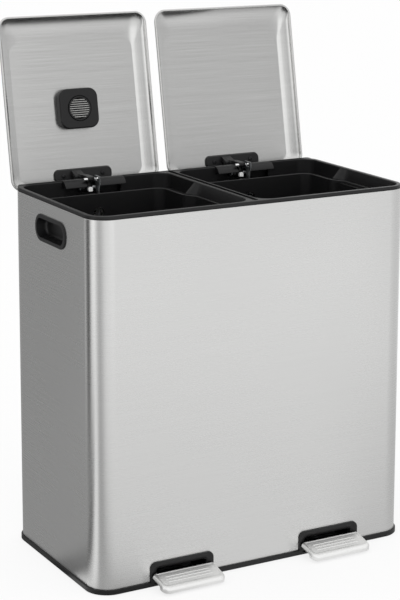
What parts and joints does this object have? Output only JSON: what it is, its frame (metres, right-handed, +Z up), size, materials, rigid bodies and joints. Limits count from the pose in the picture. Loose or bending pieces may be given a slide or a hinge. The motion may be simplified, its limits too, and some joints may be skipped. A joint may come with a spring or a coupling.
{
  "type": "double recycling bin",
  "caption": "Two-compartment pedal bin: steel body and lids, lift-out buckets, foot pedals that open each lid on its own linkage.",
  "frame": {"origin": "on the floor, under the middle of the steel body, on the underside of the base", "axes": "+Z up, +X to the right as seen from the front, the front with the pedals faces -Y"},
  "size_m": [0.5912, 0.4375, 0.8858],
  "materials": {
    "brushed_steel": "brushed stainless steel, vertical grain",
    "zinc_steel": "zinc-plated steel, dull",
    "bright_pin": "bright turned pin",
    "white_nylon": "white nylon stop buffer",
    "satin_pedal": "satin stainless pressing",
    "black_plastic": "black moulded plastic, fine grain",
    "bucket_plastic": "black moulded plastic, satin",
    "foot_rubber": "black non-slip rubber",
    "charcoal": "pressed charcoal felt"
  },
  "bodies": {
    "root": {"outer_shell": "brushed_steel", "top_frame": "black_plastic", "base": "black_plastic", "bucket_deck": "black_plastic", "foot_pad_front_left": "foot_rubber", "foot_pad_front_right": "foot_rubber", "foot_pad_rear_right": "foot_rubber", "foot_pad_rear_left": "foot_rubber", "handle_cup_left": "black_plastic", "hinge_pin_left": "zinc_steel", "pedal_axle_left": "zinc_steel", "damper_left": "zinc_steel", "rod_guide_left": "black_plastic", "handle_cup_right": "black_plastic", "hinge_pin_right": "zinc_steel", "pedal_axle_right": "zinc_steel", "damper_right": "zinc_steel", "rod_guide_right": "black_plastic"},
    "lid_left": {"lid_left": "brushed_steel", "hinge_bracket_left": "black_plastic", "crank_pin_left": "bright_pin", "stop_buffer_left": "white_nylon", "bracket_screw_left_1": "zinc_steel", "bracket_screw_left_2": "zinc_steel", "freshener_case": "black_plastic", "charcoal_puck": "charcoal"},
    "push_rod_left": {"push_rod_left": "zinc_steel", "damper_rod_left": "bright_pin", "damper_clip_left": "black_plastic"},
    "pedal_left": {"pedal_lever_left": "zinc_steel", "pedal_carrier_left": "black_plastic", "pedal_pad_left": "satin_pedal", "link_pin_left": "zinc_steel"},
    "bucket_left": {"bucket_left": "bucket_plastic"},
    "lid_right": {"lid_right": "brushed_steel", "hinge_bracket_right": "black_plastic", "crank_pin_right": "bright_pin", "stop_buffer_right": "white_nylon", "bracket_screw_right_1": "zinc_steel", "bracket_screw_right_2": "zinc_steel"},
    "push_rod_right": {"push_rod_right": "zinc_steel", "damper_rod_right": "bright_pin", "damper_clip_right": "black_plastic"},
    "pedal_right": {"pedal_lever_right": "zinc_steel", "pedal_carrier_right": "black_plastic", "pedal_pad_right": "satin_pedal", "link_pin_right": "zinc_steel"},
    "bucket_right": {"bucket_right": "bucket_plastic"},
    "vent_cap": {"freshener_cap": "black_plastic"}
  },
  "joints": [
    {"name": "lid_left_hinge", "type": "hinge", "parent": "root", "child": "lid_left", "pos_m": [-0.1478, 0.1465, 0.5972], "axis": [-1, 0, 0], "range_deg": [-100.5, 0]},
    {"name": "push_rod_left_slide", "type": "slide", "parent": "root", "child": "push_rod_left", "axis": [0, 0, 1], "range_m": [-0.03403, 0]},
    {"name": "pedal_left_pivot", "type": "hinge", "parent": "root", "child": "pedal_left", "pos_m": [-0.1467, -0.095, 0.024], "axis": [1, 0, 0], "range_deg": [-8.7, 0]},
    {"name": "bucket_left_lift", "type": "slide", "parent": "root", "child": "bucket_left", "axis": [0, 0, 1], "range_m": [0, 0.56]},
    {"name": "lid_right_hinge", "type": "hinge", "parent": "root", "child": "lid_right", "pos_m": [0.1478, 0.1465, 0.5972], "axis": [-1, 0, 0], "range_deg": [-100.5, 0]},
    {"name": "push_rod_right_slide", "type": "slide", "parent": "root", "child": "push_rod_right", "axis": [0, 0, 1], "range_m": [-0.03403, 0]},
    {"name": "pedal_right_pivot", "type": "hinge", "parent": "root", "child": "pedal_right", "pos_m": [0.1489, -0.095, 0.024], "axis": [1, 0, 0], "range_deg": [-8.7, 0]},
    {"name": "bucket_right_lift", "type": "slide", "parent": "root", "child": "bucket_right", "axis": [0, 0, 1], "range_m": [0, 0.56]},
    {"name": "vent_cap_turn", "type": "hinge", "parent": "lid_left", "child": "vent_cap", "pos_m": [-0.1478, 0.20176, 0.72527], "axis": [0, 0.9833, -0.1822], "range_deg": [-30, 0]}
  ],
  "couplings": [
    {"joint": "push_rod_left_slide", "follows": "lid_left_hinge", "m_per_rad": 0.019286},
    {"joint": "pedal_left_pivot", "follows": "lid_left_hinge", "ratio": 0.086036},
    {"joint": "push_rod_right_slide", "follows": "lid_right_hinge", "m_per_rad": 0.019286},
    {"joint": "pedal_right_pivot", "follows": "lid_right_hinge", "ratio": 0.086036}
  ]
}
